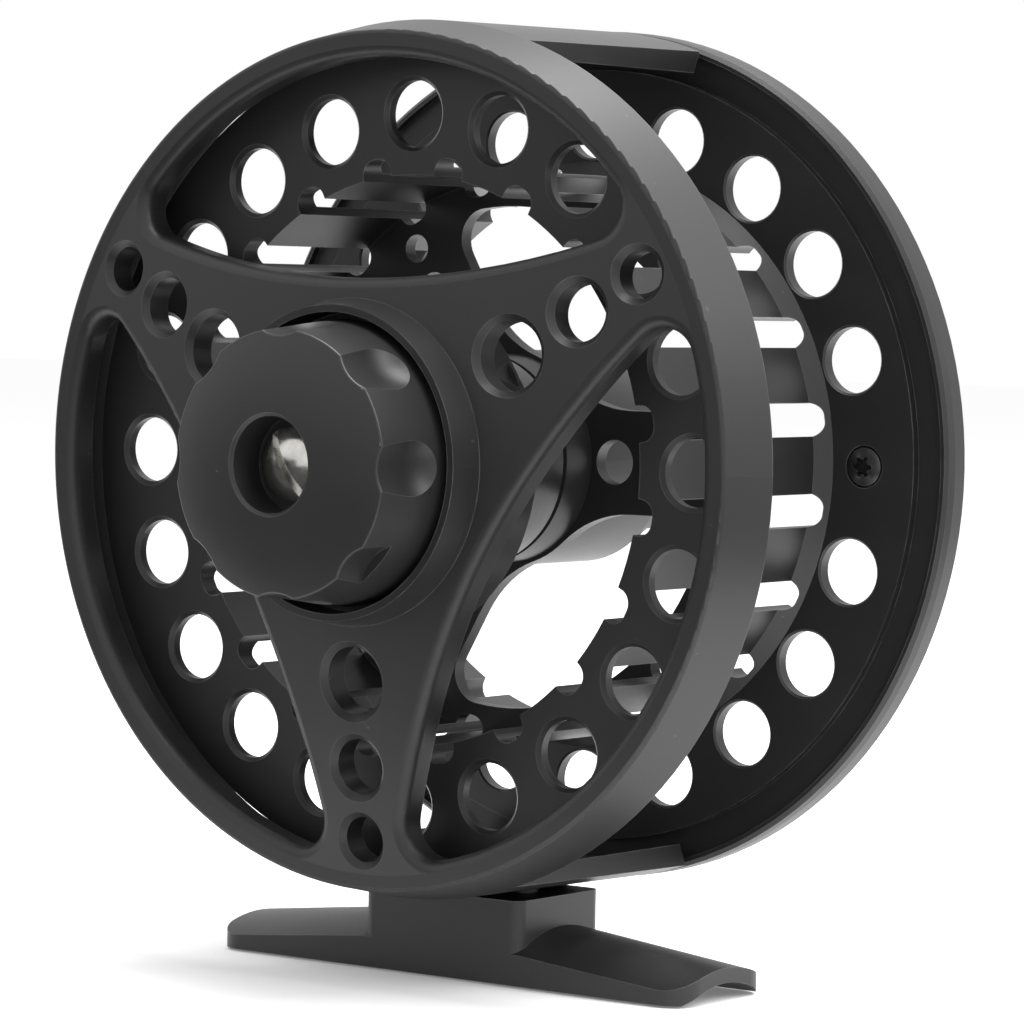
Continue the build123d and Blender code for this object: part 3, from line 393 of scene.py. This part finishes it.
# ---------------------------------------------------------------- studio
def stage_piece(mesh, name, material):
    """Makes an object of the studio, not of the reel."""
    data = bpy.data.meshes.new(name)
    mesh.to_mesh(data)
    mesh.free()
    data.materials.append(material)
    made = bpy.data.objects.new(name, data)
    bpy.context.scene.collection.objects.link(made)
    return made


def studio():
    """White all round over a pale floor."""
    world = bpy.data.worlds.new("studio")
    bpy.context.scene.world = world
    world.use_nodes = True
    background = world.node_tree.nodes["Background"]
    background.inputs["Color"].default_value = grey(1.0)
    background.inputs["Strength"].default_value = 1.0
    bpy.context.scene.view_settings.view_transform = "Standard"

    mesh = bmesh.new()
    bmesh.ops.create_grid(mesh, x_segments=1, y_segments=1, size=FLOOR_HALF_SIZE)
    pale = Finish("pale_floor").surface({"Base Color": grey(0.82), "Roughness": 0.9,
                                         "Specular IOR Level": 0.0,
                                         "Emission Color": grey(1.0), "Emission Strength": 0.15})
    floor = stage_piece(mesh, "floor", pale)
    floor.location.z = cad_box[0][2] - FLOOR_GAP


def turned_towards(place, aim, front):
    """Turns an object's front from its place towards a point."""
    return (Vector(aim) - Vector(place)).to_track_quat(front, "Y").to_euler()


def softbox(name, place, width, height, watts):
    """A soft lamp aimed at the reel."""
    lamp = bpy.data.lights.new(name, "AREA")
    lamp.shape = "RECTANGLE"
    lamp.size = width
    lamp.size_y = height
    lamp.energy = watts
    light = bpy.data.objects.new(name, lamp)
    bpy.context.scene.collection.objects.link(light)
    light.location = place
    light.rotation_euler = turned_towards(place, REEL_CENTRE, "-Z")


def dark_card(name, place, aim, width, height):
    """A card that shows only in reflections and darkens them. It casts no shadow."""
    mesh = bmesh.new()
    bmesh.ops.create_grid(mesh, x_segments=1, y_segments=1, size=0.5)
    bmesh.ops.scale(mesh, vec=(width, height, 1.0), verts=mesh.verts)
    black = Finish(name).surface({"Base Color": grey(0.02), "Roughness": 0.9})
    card = stage_piece(mesh, name, black)
    card.location = place
    card.rotation_euler = turned_towards(place, aim, "Z")
    card.visible_camera = False
    card.visible_diffuse = False
    card.visible_shadow = False


def floor_card(name, x, y, width, depth):
    """A dark card lying on the floor."""
    dark_card(name, (x, y, 0.0), (x, y, 1.0), width, depth)


studio()
softbox("right_softbox", (0.60, 0.10, 0.55), width=0.5, height=0.5, watts=4.0)
softbox("top_softbox", (0.05, 0.10, 0.65), width=0.5, height=0.4, watts=6.5)
dark_card("front_card", (-0.50, -0.66, 0.06), REEL_CENTRE, width=0.90, height=0.14)
floor_card("left_floor_card", x=-0.30, y=-0.415, width=0.90, depth=0.69)
floor_card("right_floor_card", x=0.38, y=0.08, width=0.50, depth=0.44)

# ---------------------------------------------------------------- camera
CAMERA_AZIMUTH = math.radians(37.36)
CAMERA_ELEVATION = math.radians(2.7135)
CAMERA_ROLL = math.radians(0.923)
CAMERA_DISTANCE = 0.418245
CAMERA_AIM = Vector((7.7137, -6.755, 45.3873)) * MM
CAMERA_LENS = 153.9745
CAMERA_SENSOR = 36.0

back = Vector((math.sin(CAMERA_AZIMUTH) * math.cos(CAMERA_ELEVATION),
               -math.cos(CAMERA_AZIMUTH) * math.cos(CAMERA_ELEVATION),
               math.sin(CAMERA_ELEVATION)))
level = Vector((math.cos(CAMERA_AZIMUTH), math.sin(CAMERA_AZIMUTH), 0))
upright = back.cross(level)
right = math.cos(CAMERA_ROLL) * level + math.sin(CAMERA_ROLL) * upright
up = back.cross(right)
lens = bpy.data.cameras.new("camera")
lens.lens = CAMERA_LENS
lens.sensor_width = CAMERA_SENSOR
lens.clip_start = 0.01
camera = bpy.data.objects.new("camera", lens)
bpy.context.scene.collection.objects.link(camera)
turn = Matrix((right, up, back)).transposed().to_4x4()
camera.matrix_world = Matrix.Translation(CAMERA_AIM + back * CAMERA_DISTANCE) @ turn
bpy.context.scene.camera = camera
